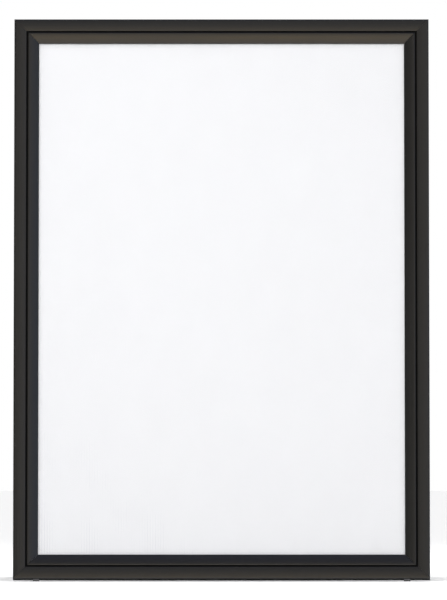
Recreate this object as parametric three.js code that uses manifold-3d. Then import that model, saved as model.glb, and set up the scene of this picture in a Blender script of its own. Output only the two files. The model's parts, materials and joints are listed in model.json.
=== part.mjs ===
// Sandwich board: two A1 poster frames, hinged along their top edges and held apart by folding side stays.
// Each frame is four mitred base profiles, four spring-loaded snap covers, a corrugated backing sheet and a clear sheet.
// Millimetres, +Z up. The front frame faces -Y. Left and right are those of someone looking at the front.
// The origin is on the floor, in the middle of the footprint.
import * as THREE from 'three';
import { mergeVertices } from 'three/addons/utils/BufferGeometryUtils.js';
import Module from 'manifold-3d';

const wasm = await Module();
wasm.setup();

// Sheet and frame
const POSTER_W = 594; // A1
const POSTER_H = 841;
const COVER_OVERLAP = 10.5; // how far each snap cover laps over the poster
const BAND = 39; // width of the frame, from its outer edge to the opening
const FRAME_W = POSTER_W - 2 * COVER_OVERLAP + 2 * BAND;
const FRAME_H = POSTER_H - 2 * COVER_OVERLAP + 2 * BAND;
const GAP = 0.3; // between pieces that touch

// Stance
const TILT = THREE.MathUtils.degToRad(12.7); // each frame's lean from upright when the board is open
const HINGE_BEHIND = 14; // hinge axis behind each frame's back face
const HINGE_BELOW_TOP = 14;
const FOOT_LIFT = 1.5; // lowest edge of the frame above the floor

// Base profile section: u runs in from the outer edge, d runs forward from the back face
const DEPTH = 14;
const BOX_W = 19.1; // hollow box that makes the outer band
const WALL = 1.7;
const CROWN = 0.6; // rise of the outer band's convex front
const OUTER_R = 2; // rounding of the frame's outer edge
const FLANGE_END = 36; // back flange that carries the sheets
const PIVOT = { u: 22.9, d: 11.5 }; // axis of the snap cover
const BEAD_R = 0.85;
const BEAD_WEB = { left: PIVOT.u - 0.55, right: PIVOT.u + 0.25 };
const SHELF = { low: 7.2, high: 8.3, end: PIVOT.u + 0.5 }; // ledge that carries the hinge bead
const BASE_MITRE_GAP = 0.15;

// Snap cover section
const CLAW = { inner: 1.15, outer: 2, from: -60, to: 140, plate: 15, top: 90 }; // radii, and angles in degrees
const COVER_FALL = 3.3; // drop of the cover's front from the groove to the nose
const COVER_THICK = 1.4;
const NOSE_R = 0.8; // rounding of the front over to the opening
const LIP_D = 7; // underside of the lip that presses on the clear sheet
const COVER_MITRE_GAP = 0.3;

// Sheets inside the frame
const BACKING = { thick: 4, d: WALL - 0.1 + GAP };
const CLEAR = { thick: 0.5, d: BACKING.d + BACKING.thick + 0.25 };

// Small parts
const KEY = { leg: 62, clearance: 0.4 };
const SPRING = { width: 14, thick: 0.6 };
const PLATE = 2; // thickness of the steel brackets and links
const HINGE = { x: 215, outerW: 46, innerW: 41.2, tabR: 8, pinR: 3, holeR: 3.2 };
const STAY = {
  fromHinge: 520, // pivots below the hinge axis, measured down the frame
  behind: 10, // pivots behind the back face
  tabR: 7,
  holeR: 2.6,
  shankR: 2.4,
  flangeW: 22,
  flangeH: 46,
};
// Layers of a stay, as distances from the board's middle, from the rear bracket out to the front bracket
const LAYER = { rearEar: 309.3, rearLink: 311.8, frontLink: 315.3, frontEar: 317.8 };
const TAIL = { r: 3.4, low: 314.1, high: 315 }; // riveted-over ends, in the space between the two links
const MIDDLE_SPLIT = { rear: 314.4, front: 314.7 }; // where the middle rivet is parted
const FOOT = { x: 289.5, width: 10, front: 13, back: 5, rise: 24 };

const ROUND_SEGMENTS = 24;

const black = new THREE.MeshStandardMaterial({ color: 0x2b2b2b, roughness: 0.42, metalness: 0.6 });
const white = new THREE.MeshStandardMaterial({ color: 0xf4f4f7, roughness: 0.55, metalness: 0 });
const clear = new THREE.MeshStandardMaterial({
  color: 0xffffff, roughness: 0.2, metalness: 0, transparent: true, opacity: 0.12,
});
const zinc = new THREE.MeshStandardMaterial({ color: 0xb4b6b8, roughness: 0.4, metalness: 0.9 });
const spring = new THREE.MeshStandardMaterial({ color: 0x8d8f92, roughness: 0.3, metalness: 1 });
const rubber = new THREE.MeshStandardMaterial({ color: 0x3a3a3c, roughness: 0.85, metalness: 0 });

// ---- Shapes ----

function named(name, geometry, material) {
  const mesh = new THREE.Mesh(geometry, material);
  mesh.name = name;
  return mesh;
}

function arc(cx, cy, radius, fromDeg, toDeg, steps) {
  return Array.from({ length: steps + 1 }, (_, i) => {
    const a = THREE.MathUtils.degToRad(fromDeg + ((toDeg - fromDeg) * i) / steps);
    return [cx + radius * Math.cos(a), cy + radius * Math.sin(a)];
  });
}

function shapeOf(points, holes = []) {
  const path = (list) => list.map(([x, y]) => new THREE.Vector2(x, y));
  const shape = new THREE.Shape(path(points));
  shape.holes = holes.map((hole) => new THREE.Path(path(hole)));
  return shape;
}

function circle(cx, cy, radius) {
  return arc(cx, cy, radius, 0, 360, ROUND_SEGMENTS).slice(0, -1);
}

// Extrudes a shape along X, so that the shape's own x and y become Y and Z.
function alongX(shape, from, to) {
  const geometry = new THREE.ExtrudeGeometry(shape, { depth: 1, bevelEnabled: false });
  const at = geometry.attributes.position;
  for (let i = 0; i < at.count; i++) {
    at.setXYZ(i, at.getZ(i) > 0.5 ? to : from, at.getX(i), at.getY(i));
  }
  geometry.computeVertexNormals();
  return geometry;
}

// Extrudes a (u, d) section along X with both ends mitred at 45 degrees, so that the inside is shorter.
// setBack gives how far in from the corner the section ends at (u, d), where that isn't the mitre.
function mitred(shape, length, gap, setBack = (u) => u) {
  const geometry = alongX(shape, -1, 1);
  const at = geometry.attributes.position;
  for (let i = 0; i < at.count; i++) {
    at.setX(i, at.getX(i) * (length / 2 - setBack(at.getY(i), at.getZ(i)) - gap));
  }
  geometry.computeVertexNormals();
  return geometry;
}

// The claw under a snap cover ends square, clear of the next cover's claw, so that each can turn.
function coverEnd(u, d) {
  const squareEnd = PIVOT.u + CLAW.outer;
  const inClaw = u < squareEnd && d < PIVOT.d + CLAW.inner + 0.1;
  return inClaw ? squareEnd : u;
}

// Turns a profile of [radius, distance] points about the X axis.
function turned(profile) {
  const points = profile.map(([r, h]) => new THREE.Vector2(r, h));
  return new THREE.LatheGeometry(points, ROUND_SEGMENTS).rotateZ(-Math.PI / 2);
}

function box(x, y, z) {
  const [lowX, highX] = x;
  const [lowY, highY] = y;
  const [lowZ, highZ] = z;
  const geometry = new THREE.BoxGeometry(highX - lowX, highY - lowY, highZ - lowZ);
  return geometry.translate((lowX + highX) / 2, (lowY + highY) / 2, (lowZ + highZ) / 2);
}

// ---- Booleans ----

function solidOf(geometry) {
  const bare = new THREE.BufferGeometry();
  bare.setAttribute('position', geometry.attributes.position.clone());
  if (geometry.index) bare.setIndex(geometry.index.clone());
  const merged = mergeVertices(bare, 1e-4);
  return new wasm.Manifold(new wasm.Mesh({
    numProp: 3,
    vertProperties: new Float32Array(merged.attributes.position.array),
    triVerts: new Uint32Array(merged.index.array),
  }));
}

function geometryOf(solid) {
  const { vertProperties, triVerts } = solid.getMesh();
  const geometry = new THREE.BufferGeometry();
  geometry.setAttribute('position', new THREE.BufferAttribute(new Float32Array(vertProperties), 3));
  geometry.setIndex(new THREE.BufferAttribute(new Uint32Array(triVerts), 1));
  geometry.computeVertexNormals();
  return geometry;
}

const joined = (a, b) => geometryOf(solidOf(a).add(solidOf(b)));
const cut = (a, b) => geometryOf(solidOf(a).subtract(solidOf(b)));

// ---- Profile sections ----

function baseSection() {
  const inner = BOX_W - 0.9; // where the crown ends beside the groove
  const crown = Array.from({ length: 9 }, (_, i) => {
    const u = inner - (i * (inner - OUTER_R)) / 8;
    const across = (u - BOX_W / 2) / (BOX_W / 2);
    return [u, DEPTH - CROWN * across * across];
  });
  const shoulder = crown[crown.length - 1][1] - OUTER_R;
  const beadFoot = (u) => PIVOT.d - Math.sqrt(BEAD_R ** 2 - (u - PIVOT.u) ** 2);
  const angleAt = (u) => THREE.MathUtils.radToDeg(Math.atan2(beadFoot(u) - PIVOT.d, u - PIVOT.u));
  const outline = [
    [0.6, 0],
    [FLANGE_END - 0.4, 0],
    [FLANGE_END, 0.4],
    [FLANGE_END, WALL - 0.5],
    [FLANGE_END - 0.4, WALL - 0.1],
    [BOX_W, WALL - 0.1],
    [BOX_W, SHELF.low],
    [SHELF.end, SHELF.low],
    [SHELF.end, SHELF.high],
    [BEAD_WEB.right, SHELF.high],
    ...arc(PIVOT.u, PIVOT.d, BEAD_R, angleAt(BEAD_WEB.right), 360 + angleAt(BEAD_WEB.left), 14),
    [BEAD_WEB.left, SHELF.high],
    [BOX_W, SHELF.high],
    [BOX_W, DEPTH - 1.3],
    [BOX_W - 0.3, DEPTH - 0.75],
    ...crown,
    ...arc(OUTER_R, shoulder, OUTER_R, 105, 180, 4),
    [0, 0.6],
  ];
  const chamber = [
    [WALL, WALL],
    [BOX_W - WALL, WALL],
    [BOX_W - WALL, DEPTH - WALL - 0.1],
    [WALL, DEPTH - WALL - 0.1],
  ];
  return shapeOf(outline, [chamber]);
}

function coverSection() {
  const top = PIVOT.d + CLAW.outer;
  const noseU = BAND - NOSE_R;
  const front = (u) => top - COVER_FALL * ((u - PIVOT.u) / (noseU - PIVOT.u)) ** 1.5;
  const steps = [25.5, 28, 31, 34, 36.5];
  return shapeOf([
    ...arc(PIVOT.u, PIVOT.d, CLAW.outer, CLAW.from, CLAW.plate, 5),
    ...steps.map((u) => [u, front(u) - COVER_THICK]),
    [BAND - 1.5, front(BAND - 1.5) - COVER_THICK],
    [BAND - 1.5, LIP_D],
    [BAND - 0.4, LIP_D],
    [BAND, LIP_D + 0.4],
    ...arc(noseU, front(noseU) - NOSE_R, NOSE_R, 0, 75, 4),
    ...steps.reverse().map((u) => [u, front(u)]),
    ...arc(PIVOT.u, PIVOT.d, CLAW.outer, CLAW.top, CLAW.to, 5),
    ...arc(PIVOT.u, PIVOT.d, CLAW.inner, CLAW.to, CLAW.from, 12),
  ]);
}

// A bent strip of even thickness along a polyline, as a closed outline.
function strip(line, thick) {
  const side = (sign) => line.map(([x, y], i) => {
    const before = line[Math.max(i - 1, 0)];
    const after = line[Math.min(i + 1, line.length - 1)];
    const inward = new THREE.Vector2(x - before[0], y - before[1]).normalize();
    const outward = new THREE.Vector2(after[0] - x, after[1] - y).normalize();
    const along = inward.clone().add(outward).normalize();
    const bend = Math.max(along.dot(inward.lengthSq() ? inward : outward), 0.5);
    const reach = (sign * thick) / 2 / bend;
    return [x - along.y * reach, y + along.x * reach];
  });
  return [...side(1), ...side(-1).reverse()];
}

// Leaf spring between the back flange and the snap cover.
function springSection() {
  return shapeOf(strip([
    [20.6, 2.3],
    [26.6, 2.3],
    [27.4, 2.9],
    [27.2, 3.9],
    [24.9, 8.2],
    [25, 9.1],
    [25.9, 9.7],
    [28.1, 10],
  ], SPRING.thick));
}

// ---- One poster frame, about the middle of its back face: X right, Y up its slope, Z forward ----

function cornerKey(signX, signY) {
  const inset = WALL + KEY.clearance;
  const width = BOX_W - 2 * WALL - 2 * KEY.clearance;
  const [far, near, leg] = [inset, inset + width, inset + KEY.leg];
  const corner = [[far, far], [leg, far], [leg, near], [near, near], [near, leg], [far, leg]];
  const place = ([x, y]) => [signX * (FRAME_W / 2 - x), signY * (FRAME_H / 2 - y)];
  const thick = DEPTH - 2 * WALL - 0.1 - 2 * KEY.clearance;
  const geometry = new THREE.ExtrudeGeometry(shapeOf(corner.map(place)), { depth: thick, bevelEnabled: false });
  return geometry.translate(0, 0, inset);
}

function sheet(name, material, { thick, d }) {
  const geometry = box([-POSTER_W / 2, POSTER_W / 2], [-POSTER_H / 2, POSTER_H / 2], [d, d + thick]);
  return named(name, geometry, material);
}

// A steel tab in the Y-Z plane: a plate on the back face with an ear round a pivot hole behind it.
function tabOutline(pivotY, behind, radius, holeR, low, high) {
  const plate = -GAP - PLATE;
  return shapeOf([
    [pivotY - low, -GAP],
    [pivotY - low, plate],
    [pivotY - radius - 6, plate],
    ...arc(pivotY, -behind, radius, 210, 360, 10),
    [pivotY + radius, plate],
    [pivotY + high, plate],
    [pivotY + high, -GAP],
  ], [circle(pivotY, -behind, holeR)]);
}

// Hinge leaf: a channel whose two ears straddle the pin.
function hingeLeaf(x, width) {
  const pivotY = FRAME_H / 2 - HINGE_BELOW_TOP;
  const outline = tabOutline(pivotY, HINGE_BEHIND, HINGE.tabR, HINGE.holeR, 23, 10);
  const block = alongX(outline, x - width / 2, x + width / 2);
  const inside = width / 2 - PLATE;
  const hollow = box([x - inside, x + inside], [pivotY - 60, pivotY + 60], [-60, -GAP - PLATE]);
  return cut(block, hollow);
}

// Stay bracket: an ear from earX outwards, with a flange that runs in from it along the back face.
function stayBracket(side, earX) {
  const pivotY = FRAME_H / 2 - HINGE_BELOW_TOP - STAY.fromHinge;
  const half = STAY.flangeH / 2;
  const outline = tabOutline(pivotY, STAY.behind, STAY.tabR, STAY.holeR, half, half);
  const ear = alongX(outline, ...[side * earX, side * (earX + PLATE)].sort((a, b) => a - b));
  const flangeX = [side * (earX + PLATE), side * (earX + PLATE - STAY.flangeW)].sort((a, b) => a - b);
  const flange = box(flangeX, [pivotY - half, pivotY + half], [-GAP - PLATE, -GAP]);
  return joined(ear, flange);
}

// Rubber foot: an L round the back of the frame's bottom edge, its sole level with the floor.
function foot(x) {
  const edge = -FRAME_H / 2;
  const floorAt = (z) => edge - (FOOT_LIFT + z * Math.sin(TILT)) / Math.cos(TILT);
  const outline = shapeOf([
    [edge - GAP, FOOT.front],
    [floorAt(FOOT.front), FOOT.front],
    [floorAt(-FOOT.back), -FOOT.back],
    [edge + FOOT.rise - 2, -FOOT.back],
    [edge + FOOT.rise, -FOOT.back + 2],
    [edge + FOOT.rise, -GAP],
    [edge - GAP, -GAP],
  ]);
  return alongX(outline, x - FOOT.width / 2, x + FOOT.width / 2);
}

function posterFrame(facing) {
  const front = facing === 'front';
  const frame = new THREE.Group();
  // The rear frame is the front one turned half round, so its own +X side is the board's left.
  const hands = front ? { 1: 'right', [-1]: 'left' } : { 1: 'left', [-1]: 'right' };
  const edges = [
    { at: 'bottom', length: FRAME_W, reach: FRAME_H / 2 },
    { at: hands[1], length: FRAME_H, reach: FRAME_W / 2 },
    { at: 'top', length: FRAME_W, reach: FRAME_H / 2 },
    { at: hands[-1], length: FRAME_H, reach: FRAME_W / 2 },
  ];
  edges.forEach(({ at, length, reach }, i) => {
    const edge = new THREE.Group();
    const turn = (i * Math.PI) / 2;
    edge.rotation.z = turn;
    edge.position.set(Math.sin(turn) * reach, -Math.cos(turn) * reach, 0);
    edge.add(
      named(`${facing}_profile_${at}`, mitred(baseSection(), length, BASE_MITRE_GAP), black),
      named(`${facing}_cover_${at}`, mitred(coverSection(), length, COVER_MITRE_GAP, coverEnd), black),
      named(`${facing}_spring_${at}`, alongX(springSection(), -SPRING.width / 2, SPRING.width / 2), spring),
    );
    frame.add(edge);
  });
  for (const signX of [-1, 1]) {
    for (const [signY, level] of [[-1, 'bottom'], [1, 'top']]) {
      frame.add(named(`${facing}_corner_key_${level}_${hands[signX]}`, cornerKey(signX, signY), zinc));
    }
    frame.add(
      named(`hinge_${hands[signX]}_${facing}_leaf`,
        hingeLeaf(signX * HINGE.x, front ? HINGE.outerW : HINGE.innerW), zinc),
      named(`stay_${hands[signX]}_${facing}_bracket`,
        stayBracket(signX, front ? LAYER.frontEar : LAYER.rearEar), zinc),
      named(`foot_${facing}_${hands[signX]}`, foot(signX * FOOT.x), rubber),
    );
  }
  frame.add(
    sheet(`${facing}_backing_sheet`, white, BACKING),
    sheet(`${facing}_clear_sheet`, clear, CLEAR),
  );
  return frame;
}

// ---- The board ----

// A point given down the frame from the hinge axis and forward from it, as [y, z] of the open front frame.
const hingeHeight = FOOT_LIFT + (FRAME_H - HINGE_BELOW_TOP) * Math.cos(TILT) - HINGE_BEHIND * Math.sin(TILT);
function fromHinge(down, forward) {
  return [
    -down * Math.sin(TILT) - forward * Math.cos(TILT),
    hingeHeight - down * Math.cos(TILT) + forward * Math.sin(TILT),
  ];
}

// Stands a poster frame at its lean, with the hinge axis over the middle of the board.
function stood(frame, turn) {
  const [y, z] = fromHinge(FRAME_H / 2 - HINGE_BELOW_TOP, HINGE_BEHIND);
  frame.rotation.x = Math.PI / 2 - TILT;
  frame.position.set(0, y, z);
  const side = new THREE.Group();
  side.rotation.z = turn;
  side.add(frame);
  return side;
}

function rivet(side, headAt, tailAt, headOut, y, z) {
  const headR = 4.6;
  const domed = headAt + headOut * 1.7;
  const ends = headOut > 0
    ? [[0, TAIL.low], [TAIL.r, TAIL.low], [TAIL.r, tailAt], [STAY.shankR, tailAt],
      [STAY.shankR, headAt], [headR, headAt], [headR * 0.75, headAt + 1.2], [0, domed]]
    : [[0, domed], [headR * 0.75, headAt - 1.2], [headR, headAt], [STAY.shankR, headAt],
      [STAY.shankR, tailAt], [TAIL.r, tailAt], [TAIL.r, TAIL.high], [0, TAIL.high]];
  return placedRound(turned(ends), side, y, z);
}

// Puts a piece turned about X at a stay's height, on the right side or flipped over to the left.
function placedRound(geometry, side, y, z) {
  if (side < 0) geometry.rotateZ(Math.PI);
  return geometry.translate(0, y, z);
}

function stayLink(side, layer, fromY, z, holes) {
  const length = Math.abs(fromY);
  const middle = fromY / 2;
  const ends = [
    ...arc(middle + length / 2, z, STAY.tabR, -90, 90, 10),
    ...arc(middle - length / 2, z, STAY.tabR, 90, 270, 10),
  ];
  const outline = shapeOf(ends, holes.map((y) => circle(y, z, STAY.holeR)));
  return alongX(outline, ...[side * layer, side * (layer + PLATE)].sort((a, b) => a - b));
}

function stay(side) {
  const hand = side > 0 ? 'right' : 'left';
  const [y, z] = fromHinge(STAY.fromHinge, HINGE_BEHIND - STAY.behind);
  const rearBack = LAYER.rearLink - 1.6;
  const stud = turned([
    [0, rearBack], [3.2, rearBack], [4.4, rearBack + 1], [4.4, LAYER.rearLink + 0.5],
    [3.2, LAYER.rearLink + 0.5], [3.2, MIDDLE_SPLIT.rear], [0, MIDDLE_SPLIT.rear],
  ]);
  const middleHead = LAYER.frontLink + PLATE + 0.2;
  const middle = turned([
    [0, MIDDLE_SPLIT.front], [3.2, MIDDLE_SPLIT.front], [3.2, LAYER.frontLink - 0.2],
    [STAY.shankR, LAYER.frontLink - 0.2], [STAY.shankR, middleHead],
    [4.6, middleHead], [3.4, middleHead + 1.2], [0, middleHead + 1.6],
  ]);
  const group = new THREE.Group();
  group.add(
    named(`stay_${hand}_front_link`, stayLink(side, LAYER.frontLink, y, z, [y, 0]), zinc),
    named(`stay_${hand}_rear_link`,
      joined(stayLink(side, LAYER.rearLink, -y, z, [-y]), placedRound(stud, side, 0, z)), zinc),
    named(`stay_${hand}_middle_rivet`, placedRound(middle, side, 0, z), zinc),
    named(`stay_${hand}_front_rivet`,
      rivet(side, LAYER.frontEar + PLATE + 0.2, TAIL.high, 1, y, z), zinc),
    named(`stay_${hand}_rear_rivet`, rivet(side, LAYER.rearEar - 0.2, TAIL.low, -1, -y, z), zinc),
  );
  return group;
}

function hingePin(side) {
  const half = HINGE.outerW / 2 + 0.25;
  const profile = [
    [0, -half - 1.8], [3.6, -half - 1.6], [4.8, -half - 0.8], [4.8, -half], [HINGE.pinR, -half],
    [HINGE.pinR, half], [4.8, half], [4.8, half + 0.8], [3.6, half + 1.6], [0, half + 1.8],
  ];
  return turned(profile).translate(side * HINGE.x, 0, hingeHeight);
}

const board = new THREE.Group();
board.add(
  stood(posterFrame('front'), 0),
  stood(posterFrame('rear'), Math.PI),
  stay(-1),
  stay(1),
  named('hinge_left_pin', hingePin(-1), zinc),
  named('hinge_right_pin', hingePin(1), zinc),
);

export default board;
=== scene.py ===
"""The looks of the sandwich board: its profiles, sheets, steelwork and feet in detail, and their materials.

Lengths are in millimetres until they become vertices, which are in metres in the CAD model's own frame.
A poster frame is built about the middle of its back face: x to its right, y up its slope, z out of its face.
A profile section is drawn in u, inwards from the frame's outer edge, and d, forwards from its back face.
"""
import json
import math

import bmesh
import bpy
from mathutils import Matrix, Vector
from mathutils.geometry import tessellate_polygon

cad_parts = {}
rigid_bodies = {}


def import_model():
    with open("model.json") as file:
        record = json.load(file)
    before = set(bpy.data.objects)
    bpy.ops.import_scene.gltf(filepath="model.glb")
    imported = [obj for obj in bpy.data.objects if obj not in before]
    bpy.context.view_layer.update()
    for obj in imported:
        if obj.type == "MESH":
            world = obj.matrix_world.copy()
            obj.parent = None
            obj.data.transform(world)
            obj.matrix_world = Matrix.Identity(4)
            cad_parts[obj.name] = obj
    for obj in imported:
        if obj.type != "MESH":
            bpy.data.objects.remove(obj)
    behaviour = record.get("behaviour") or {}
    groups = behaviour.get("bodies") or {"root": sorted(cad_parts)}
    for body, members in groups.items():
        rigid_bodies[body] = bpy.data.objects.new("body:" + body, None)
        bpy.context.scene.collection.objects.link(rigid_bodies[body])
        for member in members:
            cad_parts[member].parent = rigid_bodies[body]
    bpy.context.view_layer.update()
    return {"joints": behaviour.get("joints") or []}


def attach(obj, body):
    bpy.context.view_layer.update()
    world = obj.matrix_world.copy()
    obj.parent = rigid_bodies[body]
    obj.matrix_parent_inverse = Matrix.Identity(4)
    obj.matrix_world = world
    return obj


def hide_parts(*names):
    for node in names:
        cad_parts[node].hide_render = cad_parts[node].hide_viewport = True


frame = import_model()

MM = 0.001

# ---- Sizes, as in the CAD model ----

POSTER_W, POSTER_H = 594, 841
COVER_OVERLAP = 10.5
BAND = 39
FRAME_W = POSTER_W - 2 * COVER_OVERLAP + 2 * BAND
FRAME_H = POSTER_H - 2 * COVER_OVERLAP + 2 * BAND
GAP = 0.3

HINGE_BEHIND, HINGE_BELOW_TOP = 14, 14
FOOT_LIFT = 1.5
DEPTH, BOX_W, WALL, CROWN, FLANGE_END = 14, 19.1, 1.7, 0.6, 36
OUTER_R = 2
PIVOT_U, PIVOT_D = 22.9, 11.5
BEAD_R, WEB_LEFT, WEB_RIGHT = 0.85, PIVOT_U - 0.55, PIVOT_U + 0.25
SHELF_LOW, SHELF_HIGH, SHELF_END = 7.2, 8.3, PIVOT_U + 0.5
BASE_MITRE_GAP, COVER_MITRE_GAP = 0.15, 0.3
CLAW_IN, CLAW_OUT = 1.15, 2
COVER_FALL, COVER_THICK, NOSE_R, LIP_D = 3.3, 1.4, 0.8, 7
BACKING_D, BACKING_THICK = 1.9, 4
CLEAR_D, CLEAR_THICK = 6.15, 0.5
SPRING_WIDTH, SPRING_THICK = 14, 0.6
PLATE = 2
HINGE_X, LEAF_WIDTH, LEAF_EAR_R, PIN_R, PIN_HOLE_R = 215, {"front": 46, "rear": 41.2}, 8, 3, 3.2
LEAF_DOWN, LEAF_UP = 23, 10
STAY_FROM_HINGE, STAY_BEHIND, STAY_EAR_R, STAY_HOLE_R, SHANK_R = 520, 10, 7, 2.6, 2.4
FLANGE_W, FLANGE_H = 22, 46
EAR_X = {"front": 317.8, "rear": 309.3}
LINK_X = {"front": 315.3, "rear": 311.8}
TAIL_R, TAIL_LOW, TAIL_HIGH = 3.4, 314.1, 315
MIDDLE_SPLIT = {"front": 314.7, "rear": 314.4}
FOOT_X, FOOT_WIDTH, FOOT_FRONT, FOOT_BACK, FOOT_RISE = 289.5, 10, 13, 5, 24

# ---- Sizes of what the CAD model leaves out ----

SHORT_SIDE_SPRINGS, LONG_SIDE_SPRINGS = 3, 4
FLUTES = 144
FLUTE_PITCH = POSTER_W / FLUTES
SKIN, WEB, SKIN_SINK = 0.32, 0.22, 0.02
CLEAR_CORNER_R = 4
BEND_OUT, BEND_IN = 2.6, 0.6
# how far a bent blank reaches past the outline cut from it, half its length, and how far the cutters reach
BLANK_ROOM, BLANK_HALF, CUTTER_HALF, CUTTER_DEEP = 5, 40, 400, 30
LEAF_RIVETS_DOWN, LEAF_RIVETS_ACROSS = (8, 24), (-11, 11)
BRACKET_RIVETS_IN, BRACKET_RIVETS_UP = 23, (-16, 16)
BRACKET_CORNER_R = 4
EAR_SLOPE = 6
HEAD_GAP, HEAD_R, HEAD_RISE, HEAD_RIM = 0.2, 4.6, 1.7, 0.25
STUD_HEAD_R, PIN_HEAD_R = 4.4, 4.8
TAIL_CHAMFER = 0.3
MIDDLE_TAIL_R, MIDDLE_CHAMFER_R, MIDDLE_CHAMFER, STUD_GAP = 3.2, 0.2, 0.15, 0.1
SOLE_RIBS, RIB_PITCH, RIB_DEEP, SOLE_CORNER_R = 5, 2.4, 0.5, 0.8
SCREW_R, SCREW_BELOW_FOOT_TOP = 2.9, 9
SCREW_SLOT_REACH, SCREW_SLOT_HALF, SCREW_SLOT_FLOOR = 1.7, 0.32, 0.6

# ---- Where things are, from the frame ----

JOINTS = {joint["name"]: joint for joint in frame["joints"]}
FOLD = JOINTS["fold"]
TILT = math.radians(FOLD["range_deg"][1] / 2)
HINGE_Z = FOLD["pos_m"][2] / MM
FACES = ("front", "rear")
HANDS = {"front": {1: "right", -1: "left"}, "rear": {1: "left", -1: "right"}}


def from_hinge(down, forward):
    """(y, z) of a point down the front frame from the hinge axis and forward of it."""
    return (
        -down * math.sin(TILT) - forward * math.cos(TILT),
        HINGE_Z - down * math.cos(TILT) + forward * math.sin(TILT),
    )


def face_matrix(facing):
    """Takes a poster frame's own millimetres to the board's."""
    y, z = from_hinge(FRAME_H / 2 - HINGE_BELOW_TOP, HINGE_BEHIND)
    lean = Matrix.Translation((0, y, z)) @ Matrix.Rotation(math.pi / 2 - TILT, 4, "X")
    return lean if facing == "front" else Matrix.Rotation(math.pi, 4, "Z") @ lean


def edges(facing):
    """(name, length, matrix) of each side, whose own x runs along it, y inwards and z out of the face."""
    hands = HANDS[facing]
    for i, at in enumerate(("bottom", hands[1], "top", hands[-1])):
        length, reach = ((FRAME_W, FRAME_H / 2), (FRAME_H, FRAME_W / 2))[i % 2]
        turn = i * math.pi / 2
        place = Matrix.Translation((math.sin(turn) * reach, -math.cos(turn) * reach, 0))
        yield at, length, face_matrix(facing) @ place @ Matrix.Rotation(turn, 4, "Z")


# ---- Outlines ----


def arc(cx, cy, radius, start, end, steps):
    """Points round a circle, from start to end in degrees."""
    turns = [math.radians(start + (end - start) * i / steps) for i in range(steps + 1)]
    return [(cx + radius * math.cos(a), cy + radius * math.sin(a)) for a in turns]


def circle(cx, cy, radius, steps=40):
    return arc(cx, cy, radius, 0, 360, steps)[:-1]


def rounded(points, radii, closed=True, steps=5):
    """A path with its corners rounded, each by its own radius or all by one."""
    if not isinstance(radii, (list, tuple)):
        radii = [radii] * len(points)
    path = []
    for i, (point, radius) in enumerate(zip(points, radii)):
        if radius == 0 or not closed and i in (0, len(points) - 1):
            path.append(point)
            continue
        here = Vector(point)
        back = (Vector(points[i - 1]) - here).normalized()
        on = (Vector(points[(i + 1) % len(points)]) - here).normalized()
        half = back.angle(on) / 2
        centre = here + (back + on).normalized() * radius / math.sin(half)
        first = here + back * radius / math.tan(half) - centre
        last = here + on * radius / math.tan(half) - centre
        start, end = math.atan2(first.y, first.x), math.atan2(last.y, last.x)
        sweep = (end - start + math.pi) % (2 * math.pi) - math.pi
        path += arc(*centre, radius, math.degrees(start), math.degrees(start + sweep), steps)
    return path


def ribbon(path, thick):
    """The outline of a strip of even thickness along a path."""
    sides = ([], [])
    for i, (x, y) in enumerate(path):
        along = (Vector(path[min(i + 1, len(path) - 1)]) - Vector(path[max(i - 1, 0)])).normalized()
        for side, reach in zip(sides, (thick / 2, -thick / 2)):
            side.append((x - along.y * reach, y + along.x * reach))
    return sides[0] + sides[1][::-1]


# ---- Meshes ----


def prism(rings, ends, along=0):
    """Extrudes closed rings between two ends, each a function of a ring point that gives its 3-D place.

    The first ring is the outline and the others are holes. Each face round the side gets UVs in metres:
    along its length, offset by along, and round its section.
    """
    bm = bmesh.new()
    uv = bm.loops.layers.uv.verify()
    walls = []
    for ring in rings:
        pair = [[bm.verts.new(end(p)) for p in ring] for end in ends]
        run = 0
        for i, point in enumerate(ring):
            j = (i + 1) % len(ring)
            step = math.dist(point, ring[j])
            face = bm.faces.new((pair[0][i], pair[0][j], pair[1][j], pair[1][i]))
            for loop, across in zip(face.loops, (run, run + step, run + step, run)):
                loop[uv].uv = ((loop.vert.co.x + along) * MM, across * MM)
            run += step
        walls.append(pair)
    caps = [range(len(rings[0]))]
    if len(rings) > 1:
        caps = tessellate_polygon([[Vector((*p, 0)) for p in ring] for ring in rings])
    for k in range(2):
        corners = [vert for pair in walls for vert in pair[k]]
        for cap in caps:
            face = bm.faces.new([corners[i] for i in cap])
            for loop in face.loops:
                loop[uv].uv = (loop.vert.co.y * MM, loop.vert.co.z * MM)
    return bm


def across_x(rings, low, high):
    """Extrudes (y, z) rings along x."""
    return prism(rings, [lambda p: (low, *p), lambda p: (high, *p)])


def across_y(rings, low, high):
    """Extrudes (x, z) rings along y."""
    return prism(rings, [lambda p: (p[0], low, p[1]), lambda p: (p[0], high, p[1])])


def across_z(rings, low, high):
    """Extrudes (x, y) rings along z."""
    return prism(rings, [lambda p: (*p, low), lambda p: (*p, high)])


def turned(profile, steps=48):
    """Turns a profile of (radius, distance) points about x."""
    bm = bmesh.new()
    rings = []
    for radius, x in profile:
        if radius == 0:
            rings.append([bm.verts.new((x, 0, 0))] * steps)
        else:
            rings.append([bm.verts.new((x, y, z)) for y, z in circle(0, 0, radius, steps)])
    for near, far in zip(rings, rings[1:]):
        for i in range(steps):
            j = (i + 1) % steps
            corners = (near[i], near[j], far[j], far[i])
            bm.faces.new(sorted(set(corners), key=corners.index))
    return bm


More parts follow.
